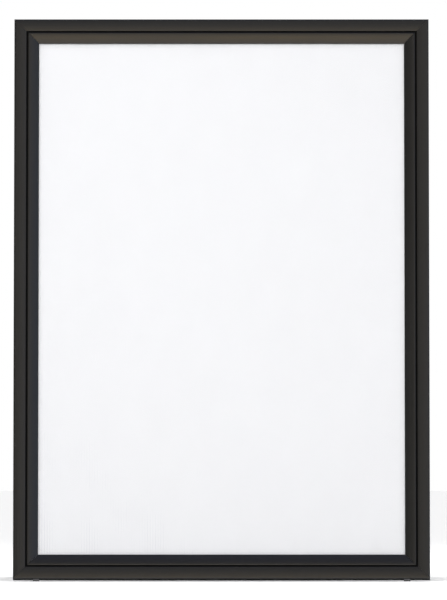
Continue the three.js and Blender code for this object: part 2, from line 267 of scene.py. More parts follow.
def carved(base, tool, operation="INTERSECT"):
    """The solid two meshes share, or the first less the second."""
    parts = []
    for bm in (base, tool):
        bmesh.ops.recalc_face_normals(bm, faces=bm.faces)
        mesh = bpy.data.meshes.new("carving")
        bm.to_mesh(mesh)
        bm.free()
        part = bpy.data.objects.new("carving", mesh)
        bpy.context.scene.collection.objects.link(part)
        parts.append(part)
    modifier = parts[0].modifiers.new("carve", "BOOLEAN")
    modifier.object = parts[1]
    modifier.operation = operation
    modifier.solver = "EXACT"
    result = bmesh.new()
    result.from_mesh(parts[0].evaluated_get(bpy.context.evaluated_depsgraph_get()).to_mesh())
    for part in parts:
        bpy.data.meshes.remove(part.data)
    return result


def finish_piece(name, bm, place, material, body, replaces=(), edge=0, dull=None):
    """Turns a bmesh in millimetres into a piece on its body, with its sharp edges rounded by edge.

    dull says of a face's middle whether the face gets the second material, a duller black with painted shade.
    """
    bmesh.ops.remove_doubles(bm, verts=bm.verts, dist=1e-4)
    bmesh.ops.recalc_face_normals(bm, faces=bm.faces)
    if dull:
        for face in bm.faces:
            face.material_index = int(dull(face.calc_center_median()))
    bm.transform(Matrix.Scale(MM, 4) @ place)
    mesh = bpy.data.meshes.new(name)
    bm.to_mesh(mesh)
    bm.free()
    mesh.shade_smooth()
    mesh.set_sharp_from_angle(angle=math.radians(35))
    mesh.materials.append(material)
    # the second slot: the duller black that paints in shade
    if dull:
        mesh.materials.append(DULL_PAINTED_SHADE)
    piece = bpy.data.objects.new(name, mesh)
    bpy.context.scene.collection.objects.link(piece)
    if edge:
        round_edges(piece, edge)
    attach(piece, body)
    if replaces:
        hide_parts(*replaces)


def round_edges(piece, width):
    modifier = piece.modifiers.new("edges", "BEVEL")
    modifier.width = width * MM
    modifier.segments = 2
    modifier.limit_method = "ANGLE"
    modifier.angle_limit = math.radians(40)
    modifier.harden_normals = True


# ---- Profile sections ----


def mitre(length, gap, side, set_back=lambda u, d: u):
    """One end of a profile, at 45 degrees unless set_back says otherwise."""
    return lambda p: (side * (length / 2 - set_back(*p) - gap), p[0], p[1])


def base_rings():
    """The base profile: outline and hollow."""
    groove_r = 0.7
    half = BOX_W / 2
    steps = 24

    def crown(u):
        return DEPTH - CROWN * ((u - half) / half) ** 2

    def foot_of_bead(u):
        return math.degrees(math.atan2(-math.sqrt(BEAD_R**2 - (u - PIVOT_U) ** 2), u - PIVOT_U))

    inner = BOX_W - groove_r
    across = [inner - (inner - OUTER_R) * i / steps for i in range(steps + 1)]
    outline = [
        *arc(0.6, 0.6, 0.6, 180, 270, 5),
        *arc(FLANGE_END - 0.5, 0.5, 0.5, 270, 360, 4),
        *arc(FLANGE_END - 0.5, WALL - 0.6, 0.5, 0, 90, 4),
        *arc(BOX_W + 0.5, WALL + 0.4, 0.5, 270, 180, 4),
        *arc(BOX_W + 0.3, SHELF_LOW - 0.3, 0.3, 180, 90, 3),
        *arc(SHELF_END - 0.3, SHELF_LOW + 0.3, 0.3, 270, 360, 3),
        *arc(SHELF_END - 0.1, SHELF_HIGH - 0.1, 0.1, 0, 90, 3),
        (WEB_RIGHT, SHELF_HIGH),
        *arc(PIVOT_U, PIVOT_D, BEAD_R, foot_of_bead(WEB_RIGHT), 360 + foot_of_bead(WEB_LEFT), 24),
        (WEB_LEFT, SHELF_HIGH),
        *arc(BOX_W + 0.3, SHELF_HIGH + 0.3, 0.3, 270, 180, 3),
        *arc(inner, crown(inner) - groove_r, groove_r, 0, 72, 5),
        *[(u, crown(u)) for u in across],
        *arc(OUTER_R, crown(OUTER_R) - OUTER_R, OUTER_R, 102, 180, 8),
    ]
    far, high = BOX_W - WALL, DEPTH - WALL - 0.1
    chamber = rounded([(WALL, WALL), (far, WALL), (far, high), (WALL, high)], 0.5, steps=3)
    return [outline, chamber]


def cover_ring():
    """The snap cover: a claw round the bead, a falling front and a lip that presses on the clear sheet."""
    top = PIVOT_D + CLAW_OUT
    nose_u = BAND - NOSE_R

    def front(u):
        return top - COVER_FALL * ((u - PIVOT_U) / (nose_u - PIVOT_U)) ** 1.5

    run = [PIVOT_U + (nose_u - PIVOT_U) * i / 20 for i in range(1, 20)]
    under = [u for u in run if PIVOT_U + 2.2 <= u <= BAND - 2.5]
    return [
        *arc(PIVOT_U, PIVOT_D, CLAW_OUT, -60, 15, 10),
        *[(u, front(u) - COVER_THICK) for u in under],
        (BAND - 1.5, front(BAND - 1.5) - COVER_THICK),
        *arc(BAND - 1.1, LIP_D + 0.4, 0.4, 180, 270, 3),
        *arc(BAND - 0.4, LIP_D + 0.4, 0.4, 270, 360, 3),
        *arc(nose_u, front(nose_u) - NOSE_R, NOSE_R, 0, 75, 9),
        *[(u, front(u)) for u in reversed(run)],
        *arc(PIVOT_U, PIVOT_D, CLAW_OUT, 90, 140, 8),
        *arc(PIVOT_U, PIVOT_D, CLAW_IN, 140, -60, 24),
    ]


def cover_end(u, d):
    """The claw ends square and its crown is trimmed, clear of the next cover's when both are open."""
    square_end, crown_end = PIVOT_U + CLAW_OUT, PIVOT_U - 1.2
    return square_end if u < square_end and d < PIVOT_D + CLAW_IN + 0.1 else max(u, crown_end)


def spring_ring():
    """Leaf spring: a foot on the back flange, a knee under the sheets' edge and a tongue under the cover."""
    path = [(20.8, 2.3), (27.5, 2.3), (24.6, 8.9), (25.7, 9.75), (28.2, 10)]
    return ribbon(rounded(path, [0, 0.9, 1.4, 0.6, 0], closed=False, steps=7), SPRING_THICK)


# ---- Materials ----


class Nodes:
    """A short way to write the nodes of a material or a world."""

    def __init__(self, owner):
        owner.use_nodes = True
        self.owner, self.tree = owner, owner.node_tree

    def add(self, kind, inputs=None, **settings):
        node = self.tree.nodes.new(kind)
        for key, value in settings.items():
            setattr(node, key, value)
        for key, value in (inputs or {}).items():
            if isinstance(value, bpy.types.NodeSocket):
                self.tree.links.new(value, node.inputs[key])
            else:
                node.inputs[key].default_value = value
        return node

    def math(self, operation, a, b=0.0, c=0.0, clamp=False):
        return self.add("ShaderNodeMath", {0: a, 1: b, 2: c}, operation=operation, use_clamp=clamp).outputs[0]

    def ramp(self, factor, low, high, to_low=0.0, to_high=1.0):
        """Maps factor from low..high onto to_low..to_high, held at both ends."""
        inputs = {"Value": factor, "From Min": low, "From Max": high, "To Min": to_low, "To Max": to_high}
        return self.add("ShaderNodeMapRange", inputs, interpolation_type="SMOOTHSTEP").outputs[0]

    def noise(self, vector, scale, detail=3.0, roughness=0.5):
        inputs = {"Vector": vector, "Scale": scale, "Detail": detail, "Roughness": roughness}
        return self.add("ShaderNodeTexNoise", inputs).outputs["Fac"]

    def stretched(self, vector, scale):
        return self.add("ShaderNodeMapping", {"Vector": vector, "Scale": scale}).outputs[0]

    def mix(self, factor, a, b, blend="MIX"):
        inputs = {0: factor, 6: a, 7: b}
        return self.add("ShaderNodeMix", inputs, data_type="RGBA", blend_type=blend).outputs[2]

    def coordinates(self, output="Object"):
        return self.add("ShaderNodeTexCoord").outputs[output]

    def bump(self, height, strength, distance, normal=None):
        inputs = {"Height": height, "Strength": strength, "Distance": distance}
        if normal is not None:
            inputs["Normal"] = normal
        return self.add("ShaderNodeBump", inputs).outputs[0]

    def set(self, **inputs):
        """Sets the shader's own inputs and hands back the material."""
        shader = self.tree.nodes["Principled BSDF"]
        for key, value in inputs.items():
            socket = shader.inputs[key.replace("_", " ")]
            if isinstance(value, bpy.types.NodeSocket):
                self.tree.links.new(value, socket)
            else:
                socket.default_value = value
        return self.owner


def material_nodes(name):
    return Nodes(bpy.data.materials.new(name))


def anodised_black(name):
    """Black anodised aluminium: satin, with faint lines along the extrusion and dust in the grain."""
    n = material_nodes(name)
    place = n.coordinates("UV")
    lines = n.noise(n.stretched(place, (1.5, 1500, 1)), 1.0, 4, 0.6)
    broad = n.noise(n.stretched(place, (1.2, 260, 1)), 1.0, 2, 0.5)
    cloud = n.noise(n.coordinates(), 9, 4, 0.6)
    grain = n.noise(n.coordinates(), 1600, 2, 0.6)
    dust = n.ramp(n.noise(n.coordinates(), 420, 3, 0.7), 0.66, 0.78)
    tone = n.mix(n.ramp(lines, 0.3, 0.7), (0.0072, 0.0070, 0.0070, 1), (0.0112, 0.0108, 0.0106, 1))
    tone = n.mix(n.math("MULTIPLY", dust, 0.08), tone, (0.14, 0.135, 0.125, 1))
    rough = n.math("ADD", n.ramp(lines, 0.3, 0.7, 0.29, 0.37), n.ramp(cloud, 0.3, 0.7, -0.02, 0.03))
    normal = n.bump(lines, 0.18, 0.00012)
    normal = n.bump(broad, 0.12, 0.0003, normal)
    normal = n.bump(grain, 0.06, 0.00005, normal)
    return n.set(Base_Color=tone, Roughness=rough, Normal=normal, Metallic=0.0, Specular_IOR_Level=0.55)


def dull_painted_shade():
    """A duller, darker black for the groove and the underside: its darker tone is painted shade where these
    faces lie in shadow, varied at random.
    """
    n = material_nodes("black_anodised_painted_shade")
    # both tones are painted shade, darker than the anodised black; the noise only varies them at random
    dust = n.ramp(n.noise(n.stretched(n.coordinates("UV"), (30, 900, 1)), 1.0, 4, 0.7), 0.45, 0.8)
    tone = n.mix(dust, (0.0030, 0.0030, 0.0030, 1), (0.0060, 0.0058, 0.0054, 1))
    return n.set(Base_Color=tone, Roughness=n.ramp(dust, 0.0, 1.0, 0.62, 0.8), Specular_IOR_Level=0.2)


def fluted_white():
    """White fluted plastic with a few specks: ribs show through here and there, most at the lower left."""
    n = material_nodes("white_fluted_plastic")
    place = n.coordinates("UV")
    across, up, _ = n.add("ShaderNodeSeparateXYZ", {"Vector": place}).outputs
    phase = n.math("FRACT", n.math("DIVIDE", across, FLUTE_PITCH * MM))
    rib = n.ramp(n.math("ABSOLUTE", n.math("SUBTRACT", phase, 0.5)), 0.30, 0.5)
    drift = n.noise(n.stretched(place, (14, 5, 1)), 1.0, 2, 0.5)
    cloud = n.noise(n.coordinates(), 7, 3, 0.55)
    cells = n.add("ShaderNodeTexVoronoi", {"Vector": place, "Scale": 62.0})
    near = n.math("LESS_THAN", cells.outputs["Distance"], 0.016)
    chosen = n.add("ShaderNodeSeparateColor", {"Color": cells.outputs["Color"]}).outputs[0]
    speck = n.math("MULTIPLY", near, n.math("GREATER_THAN", chosen, 0.80))
    # across from the lower left corner plus 1.2 times the height over it, in metres
    from_corner = n.math("ADD", across, n.math("MULTIPLY_ADD", up, 1.2, POSTER_H / 2 * MM * 1.2))
    patches = n.ramp(drift, 0.35, 0.65, 0.15, 0.85)
    showing = n.math("MULTIPLY", patches, n.ramp(from_corner, 0.12, 0.46, 1.0, 0.1))
    tone = n.mix(n.math("MULTIPLY", rib, showing), (0.906, 0.908, 0.921, 1), (0.776, 0.781, 0.81, 1))
    tone = n.mix(n.ramp(cloud, 0.35, 0.75, 0.0, 0.10), tone, (0.84, 0.84, 0.85, 1))
    tone = n.mix(n.math("MULTIPLY", speck, 0.55), tone, (0.30, 0.28, 0.26, 1))
    fine = n.noise(n.stretched(place, (900, 60, 1)), 1.0, 2, 0.5)
    return n.set(Base_Color=tone, Roughness=n.ramp(fine, 0.2, 0.8, 0.44, 0.56),
                 Normal=n.bump(fine, 0.05, 0.0001), Specular_IOR_Level=0.4)


def clear_plastic():
    """Clear anti-glare sheet: faint haze and scuffs, and a painted sheen that whitens it towards grazing
    views.
    """
    n = material_nodes("clear_sheet_plastic")
    place = n.coordinates()
    haze = n.noise(n.stretched(place, (40, 40, 12)), 1.0, 4, 0.6)
    scuff = n.ramp(n.noise(n.stretched(place, (300, 300, 22)), 1.0, 3, 0.6), 0.66, 0.80)
    # painted sheen: the sheet turns whiter the more edge-on it is seen, standing in for its reflection
    facing = n.add("ShaderNodeLayerWeight", {"Blend": 0.18}).outputs["Fresnel"]
    haze_and_painted_sheen = n.math("ADD", n.ramp(haze, 0.3, 0.8, 0.004, 0.010), n.math("MULTIPLY", scuff, 0.004))
    haze_and_painted_sheen = n.math("ADD", haze_and_painted_sheen, n.math("MULTIPLY", facing, 0.35), clamp=True)
    return n.set(Base_Color=n.mix(scuff, (0.96, 0.97, 0.98, 1), (0.93, 0.94, 0.95, 1)), Alpha=haze_and_painted_sheen,
                 Roughness=n.ramp(haze, 0.2, 0.8, 0.24, 0.31))


def zinc_plate():
    """Zinc-plated pressed steel: cloudy passivation, fine rolling marks and a dull bloom in places."""
    n = material_nodes("bright_zinc")
    place = n.coordinates()
    cloud = n.noise(place, 60, 4, 0.6)
    marks = n.noise(n.stretched(place, (60, 900, 60)), 1.0, 4, 0.6)
    warm = n.noise(place, 22, 2, 0.5)
    bloom = n.ramp(n.noise(place, 150, 5, 0.7), 0.60, 0.72)
    tone = n.mix(n.ramp(cloud, 0.3, 0.7), (0.26, 0.265, 0.27, 1), (0.38, 0.385, 0.39, 1))
    tone = n.mix(n.ramp(warm, 0.5, 0.75, 0.0, 0.25), tone, (0.37, 0.365, 0.33, 1))
    tone = n.mix(n.math("MULTIPLY", bloom, 0.5), tone, (0.42, 0.42, 0.41, 1))
    rough = n.math("ADD", n.ramp(cloud, 0.3, 0.7, 0.28, 0.40), n.ramp(marks, 0.4, 0.7, 0.0, 0.08))
    rough = n.math("ADD", rough, n.math("MULTIPLY", bloom, 0.18))
    return n.set(Base_Color=tone, Roughness=rough, Normal=n.bump(marks, 0.15, 0.0001), Metallic=1.0)


def rivet_metal():
    """Drawn and headed metal: turned marks round the axis."""
    n = material_nodes("headed_rivet")
    place = n.coordinates()
    cloud = n.noise(place, 260, 3, 0.6)
    scratch = n.noise(n.stretched(place, (900, 200, 900)), 1.0, 3, 0.6)
    tone = n.mix(n.ramp(cloud, 0.3, 0.7), (0.30, 0.30, 0.31, 1), (0.46, 0.46, 0.46, 1))
    return n.set(Base_Color=tone, Roughness=n.ramp(scratch, 0.3, 0.7, 0.22, 0.38),
                 Normal=n.bump(scratch, 0.12, 0.00005), Metallic=1.0)


def spring_steel():
    """Tempered strip: darker, smoother, with a trace of blueing."""
    n = material_nodes("tempered_strip")
    place = n.coordinates()
    cloud = n.noise(place, 90, 3, 0.5)
    marks = n.noise(n.stretched(place, (500, 500, 60)), 1.0, 3, 0.6)
    tone = n.mix(n.ramp(cloud, 0.3, 0.7), (0.30, 0.31, 0.34, 1), (0.42, 0.43, 0.45, 1))
    return n.set(Base_Color=tone, Roughness=n.ramp(marks, 0.3, 0.7, 0.22, 0.34),
                 Normal=n.bump(marks, 0.1, 0.00005), Metallic=1.0)


def cast_key():
    """Die-cast corner key: dull grey zinc alloy with a sandy skin."""
    n = material_nodes("die_cast_alloy")
    place = n.coordinates()
    grain = n.noise(place, 700, 3, 0.6)
    cloud = n.noise(place, 45, 3, 0.5)
    tone = n.mix(n.ramp(cloud, 0.3, 0.7), (0.34, 0.34, 0.35, 1), (0.46, 0.46, 0.47, 1))
    return n.set(Base_Color=tone, Roughness=n.ramp(grain, 0.3, 0.7, 0.5, 0.62),
                 Normal=n.bump(grain, 0.3, 0.0002), Metallic=0.9)


def foot_rubber():
    """Moulded rubber: dark grey, dusty and slightly worn."""
    n = material_nodes("moulded_rubber")
    place = n.coordinates()
    grain = n.noise(place, 900, 3, 0.7)
    dust = n.ramp(n.noise(place, 130, 4, 0.65), 0.45, 0.75)
    tone = n.mix(n.math("MULTIPLY", dust, 0.55), (0.080, 0.080, 0.082, 1), (0.20, 0.195, 0.185, 1))
    return n.set(Base_Color=tone, Roughness=n.ramp(dust, 0.0, 1.0, 0.68, 0.88),
                 Normal=n.bump(grain, 0.25, 0.0002), Specular_IOR_Level=0.35)


BLACK_BASE = anodised_black("black_anodised_profile")
BLACK_COVER = anodised_black("black_anodised_cover")
DULL_PAINTED_SHADE = dull_painted_shade()
WHITE = fluted_white()
CLEAR = clear_plastic()
ZINC = zinc_plate()
RIVET = rivet_metal()
SPRING = spring_steel()
KEY = cast_key()
RUBBER = foot_rubber()

# ---- Poster frames ----

# how far along the finish's pattern the rear frame and the covers are, so that no two pieces look alike
REAR_PATTERN, COVER_PATTERN = 5000, 3000


# Faces that get the darker black with painted shade: the groove's walls, the underside of each bottom profile
# and the covers' side beside the groove.
def in_groove(middle):
    return middle.y > BOX_W - 0.2 and WALL < middle.z < DEPTH - 1


def in_groove_or_under(middle):
    return in_groove(middle) or middle.y < 0.1


def beside_groove(middle):
    return middle.y < PIVOT_U - 0.9


def add_profiles(facing):
    """A base profile and a snap cover on each side, each with its own stretch of the finish's pattern."""
    for at, length, place in edges(facing):
        along = length * (1 + ("bottom", "left", "top", "right").index(at))
        if facing == "rear":
            along += REAR_PATTERN
        ends = [mitre(length, BASE_MITRE_GAP, side) for side in (-1, 1)]
        finish_piece(f"{facing}_base_profile_{at}", prism(base_rings(), ends, along), place, BLACK_BASE,
                     f"{facing}_frame", [f"{facing}_profile_{at}"],
                     dull=in_groove_or_under if at == "bottom" else in_groove)
        ends = [mitre(length, COVER_MITRE_GAP, side, cover_end) for side in (-1, 1)]
        node = f"{facing}_cover_{at}"
        finish_piece(f"{facing}_snap_cover_{at}", prism([cover_ring()], ends, along + COVER_PATTERN), place,
                     BLACK_COVER, node, [node], dull=beside_groove)


def add_springs(facing):
    """Three leaf springs under each short cover and four under each long one."""
    for at, length, place in edges(facing):
        count = SHORT_SIDE_SPRINGS if length == FRAME_W else LONG_SIDE_SPRINGS
        for i in range(count):
            middle = length * ((i + 0.5) / count - 0.5)
            bm = across_x([spring_ring()], middle - SPRING_WIDTH / 2, middle + SPRING_WIDTH / 2)
            replaced = [f"{facing}_spring_{at}"] if i == 0 else []
            finish_piece(f"{facing}_leaf_spring_{at}_{i + 1}", bm, place, SPRING, f"{facing}_frame",
                         replaced, edge=0.12)


def add_fluted_sheet(facing):
    """Two skins, each sinking a little between the webs that join them, open at the ends of the flutes."""
    steps = 4
    low, high = BACKING_D, BACKING_D + BACKING_THICK
    lines = [(-POSTER_W / 2, 0)]
    for i in range(FLUTES):
        left = -POSTER_W / 2 + i * FLUTE_PITCH + WEB / 2
        for k in range(steps + 1):
            sunk = SKIN_SINK * math.sin(math.pi * k / steps) ** 2
            lines.append((left + (FLUTE_PITCH - WEB) * k / steps, sunk))
    lines.append((POSTER_W / 2, 0))
    last = len(lines) - 1
    hollow = [0 < i < last - 1 and (i - 1) % (steps + 1) < steps for i in range(last)]
    bm = bmesh.new()
    uv = bm.loops.layers.uv.verify()
    levels = (
        lambda sunk: low + sunk,
        lambda sunk: low + SKIN + sunk,
        lambda sunk: high - SKIN - sunk,
        lambda sunk: high - sunk,
    )
    bottom, top = [
        [[bm.verts.new((x, y, level(sunk))) for x, sunk in lines] for level in levels]
        for y in (-POSTER_H / 2, POSTER_H / 2)
    ]

    def quad(*corners):
        for loop in bm.faces.new(corners).loops:
            loop[uv].uv = ((loop.vert.co.x + POSTER_W / 2) * MM, loop.vert.co.y * MM)

    def long_quad(level, i, other_level, j):
        quad(bottom[level][i], bottom[other_level][j], top[other_level][j], top[level][i])

    for i, is_hollow in enumerate(hollow):
        for level in (0, 1, 2, 3) if is_hollow else (0, 3):
            long_quad(level, i, level, i + 1)
        for end in (bottom, top):
            for level in (0, 2) if is_hollow else (0, 1, 2):
                quad(end[level][i], end[level][i + 1], end[level + 1][i + 1], end[level + 1][i])
        if i and is_hollow != hollow[i - 1]:
            long_quad(1, i, 2, i)
    for i in (0, last):
        for level in range(3):
            long_quad(level, i, level + 1, i)
    finish_piece(f"{facing}_fluted_sheet", bm, face_matrix(facing), WHITE, f"{facing}_frame",
                 [f"{facing}_backing_sheet"])


def add_clear_sheet(facing):
    """The clear sheet, its corners clipped round."""
    half_w, half_h = POSTER_W / 2, POSTER_H / 2
    corners = [(-half_w, -half_h), (half_w, -half_h), (half_w, half_h), (-half_w, half_h)]
    bm = across_z([rounded(corners, CLEAR_CORNER_R, steps=6)], CLEAR_D, CLEAR_D + CLEAR_THICK)
    finish_piece(f"{facing}_clear_cover_sheet", bm, face_matrix(facing), CLEAR, f"{facing}_frame",
                 [f"{facing}_clear_sheet"], edge=0.1)


# ---- Steelwork ----


def tab_outline(pivot_y, behind, radius, hole_r, low, high):
    """A plate on the back face with an ear round a pivot hole behind it."""
    plate = -GAP - PLATE
    outline = [
        (pivot_y - low, -GAP),
        (pivot_y - low, plate),
        (pivot_y - radius - EAR_SLOPE, plate),
        *arc(pivot_y, -behind, radius, 210, 360, 20),
        (pivot_y + radius, plate),
        (pivot_y + high, plate),
        (pivot_y + high, -GAP),
    ]
    return [outline, circle(pivot_y, -behind, hole_r)]


def plan(x, y, width, height, radius):
    """A rounded rectangle about (x, y)."""
    left, right, low, high = x - width / 2, x + width / 2, y - height / 2, y + height / 2
    return [rounded([(left, low), (right, low), (right, high), (left, high)], radius, steps=6)]


def blind_rivet_head():
    """A domed head with the end of its mandrel sunk in the middle."""
    return [(0, 0.55), (0.8, 0.55), (0.9, 0.75), (0.92, 1.12), (1.1, 1.22), (1.7, 1.16),
            (2.3, 0.94), (2.8, 0.62), (3.1, 0.28), (3.15, 0.05), (3.1, 0), (0, 0)]


def add_blind_rivets(name, facing, places):
    """Blind rivets through a plate on the back face, their heads outwards."""
    for i, (x, y) in enumerate(places):
        back = Matrix.Translation((x, y, -GAP - PLATE)) @ Matrix.Rotation(math.pi / 2, 4, "Y")
        finish_piece(f"{name}_{i + 1}", turned(blind_rivet_head(), 32), face_matrix(facing) @ back, RIVET,
                     f"{facing}_frame")


def add_hinge_leaf(facing, sign):
    """A pressed channel whose two ears straddle the pin."""
    hand = HANDS[facing][sign]
    pivot_y = FRAME_H / 2 - HINGE_BELOW_TOP
    x, half, deep = sign * HINGE_X, LEAF_WIDTH[facing] / 2, HINGE_BEHIND + LEAF_EAR_R + BLANK_ROOM
    inner = half - PLATE
    section = rounded(
        [(x - half, -deep), (x - half, -GAP), (x + half, -GAP), (x + half, -deep),
         (x + inner, -deep), (x + inner, -GAP - PLATE), (x - inner, -GAP - PLATE), (x - inner, -deep)],
        [0, BEND_OUT, BEND_OUT, 0, 0, BEND_IN, BEND_IN, 0])
    channel = across_y([section], pivot_y - BLANK_HALF, pivot_y + BLANK_HALF)
    outline = tab_outline(pivot_y, HINGE_BEHIND, LEAF_EAR_R, PIN_HOLE_R, LEAF_DOWN, LEAF_UP)
    tab = across_x(outline, x - BLANK_HALF, x + BLANK_HALF)
    node = f"hinge_{hand}_{facing}_leaf"
    finish_piece(f"hinge_{hand}_{facing}_channel", carved(channel, tab), face_matrix(facing), ZINC,
                 f"{facing}_frame", [node], edge=0.25)
    places = [(x + dx, FRAME_H / 2 - down) for down in LEAF_RIVETS_DOWN for dx in LEAF_RIVETS_ACROSS]
    add_blind_rivets(f"hinge_{hand}_{facing}_fixing", facing, places)


def add_stay_bracket(facing, sign):
    """A pressed angle: a flange on the back face and an ear for the link."""
    hand = HANDS[facing][sign]
    pivot_y = FRAME_H / 2 - HINGE_BELOW_TOP - STAY_FROM_HINGE
    near, far, deep = EAR_X[facing], EAR_X[facing] + PLATE, STAY_BEHIND + STAY_EAR_R + BLANK_ROOM
    section = rounded(
        [(far - FLANGE_W, -GAP), (far, -GAP), (far, -deep), (near, -deep), (near, -GAP - PLATE),
         (far - FLANGE_W, -GAP - PLATE)], [0, BEND_OUT, 0, 0, BEND_IN, 0])
    angle = across_y([[(sign * x, z) for x, z in section]], pivot_y - BLANK_HALF, pivot_y + BLANK_HALF)
    half = FLANGE_H / 2
    outline = tab_outline(pivot_y, STAY_BEHIND, STAY_EAR_R, STAY_HOLE_R, half, half)
    tab = across_x(outline, -CUTTER_HALF, CUTTER_HALF)
    flange_x = sign * (far + BLANK_ROOM - FLANGE_W / 2)
    flange = plan(flange_x, pivot_y, FLANGE_W + 2 * BLANK_ROOM, FLANGE_H, BRACKET_CORNER_R)
    cut = carved(carved(angle, tab), across_z(flange, -CUTTER_DEEP, BLANK_ROOM))
    finish_piece(f"stay_{hand}_{facing}_angle", cut, face_matrix(facing), ZINC, f"{facing}_frame",
                 [f"stay_{hand}_{facing}_bracket"], edge=0.25)
    places = [(sign * (FRAME_W / 2 - BRACKET_RIVETS_IN), pivot_y + dy) for dy in BRACKET_RIVETS_UP]
    add_blind_rivets(f"stay_{hand}_{facing}_fixing", facing, places)


def on_side(sign, y, z):
    """Where a piece turned about x stands: on the board's right, or flipped over to its left."""
    return Matrix.Translation((0, y, z)) @ (Matrix() if sign > 0 else Matrix.Rotation(math.pi, 4, "Z"))


def dome(radius, start, outwards):
    """(radius, x) points of a domed rivet head, from its rim to its middle."""
    rim = [(radius, start), (radius, start + outwards * HEAD_RIM)]
    crown = [
        (radius * math.cos(a), start + outwards * (HEAD_RIM + (HEAD_RISE - HEAD_RIM) * math.sin(a)))
        for a in [math.pi / 2 * i / 8 for i in range(1, 8)]
    ]
    return [*rim, *crown, (0, start + outwards * HEAD_RISE)]


def rivet(tail_end, tail_top, tail_r, chamfer_r, chamfer_x, head, head_r):
    """(radius, x) points of a rivet, from the end of its chamfered tail to the top of its head."""
    outwards = 1 if head > tail_end else -1
    tail = [(0, tail_end), (tail_r - chamfer_r, tail_end), (tail_r, tail_end + outwards * chamfer_x),
            (tail_r, tail_top)]
    return [*tail, (SHANK_R, tail_top), (SHANK_R, head), *dome(head_r, head, outwards)]


def add_stay(sign):
    """Two links, the rivet each turns on at its bracket and the rivet that joins them in the middle."""
    hand = "right" if sign > 0 else "left"
    y, z = from_hinge(STAY_FROM_HINGE, HINGE_BEHIND - STAY_BEHIND)
    for facing, end_y in (("front", y), ("rear", -y)):
        body = f"stay_{hand}_{facing}_link"
        low, high = LINK_X[facing], LINK_X[facing] + PLATE
        outline = [
            *arc(max(0, end_y), z, STAY_EAR_R, -90, 90, 20),
            *arc(min(0, end_y), z, STAY_EAR_R, 90, 270, 20),
        ]
        holes = [circle(hole_y, z, STAY_HOLE_R) for hole_y in (end_y, 0)]
        bm = across_x([outline, *holes], *sorted((sign * low, sign * high)))
        finish_piece(f"stay_{hand}_{facing}_bar", bm, Matrix(), ZINC, body, [body], edge=0.3)

    front_head, rear_head = EAR_X["front"] + PLATE + HEAD_GAP, EAR_X["rear"] - HEAD_GAP
    front_pin = rivet(TAIL_LOW, TAIL_HIGH, TAIL_R, TAIL_CHAMFER, TAIL_CHAMFER, front_head, HEAD_R)
    rear_pin = rivet(TAIL_HIGH, TAIL_LOW, TAIL_R, TAIL_CHAMFER, TAIL_CHAMFER, rear_head, HEAD_R)
    middle_tail = (MIDDLE_TAIL_R, MIDDLE_CHAMFER_R, MIDDLE_CHAMFER)
    middle = rivet(MIDDLE_SPLIT["front"], LINK_X["front"] - HEAD_GAP, *middle_tail,
                   LINK_X["front"] + PLATE + HEAD_GAP, HEAD_R)
    stud = rivet(MIDDLE_SPLIT["rear"], LINK_X["rear"] + PLATE + STUD_GAP, *middle_tail,
                 LINK_X["rear"] - HEAD_GAP, STUD_HEAD_R)
    for name, profile, at_y, body, replaced in (
        ("front_rivet", front_pin, y, "front_frame", [f"stay_{hand}_front_rivet"]),
        ("rear_rivet", rear_pin, -y, "rear_frame", [f"stay_{hand}_rear_rivet"]),
        ("middle_rivet", middle, 0, f"stay_{hand}_front_link", [f"stay_{hand}_middle_rivet"]),
        ("middle_stud", stud, 0, f"stay_{hand}_rear_link", []),
    ):
        finish_piece(f"stay_{hand}_{name}_turned", turned(profile), on_side(sign, at_y, z), RIVET, body,
                     replaced)


def add_hinge_pin(sign):
    hand = "right" if sign > 0 else "left"
    half = LEAF_WIDTH["front"] / 2 + 0.25
    right_head = [(PIN_R, half), *dome(PIN_HEAD_R, half, 1)]
    profile = [(r, -x) for r, x in reversed(right_head)] + right_head
    place = Matrix.Translation((sign * HINGE_X, 0, HINGE_Z))
    finish_piece(f"hinge_{hand}_pin_turned", turned(profile), place, RIVET, "front_frame",
                 [f"hinge_{hand}_pin"])


# ---- Feet ----


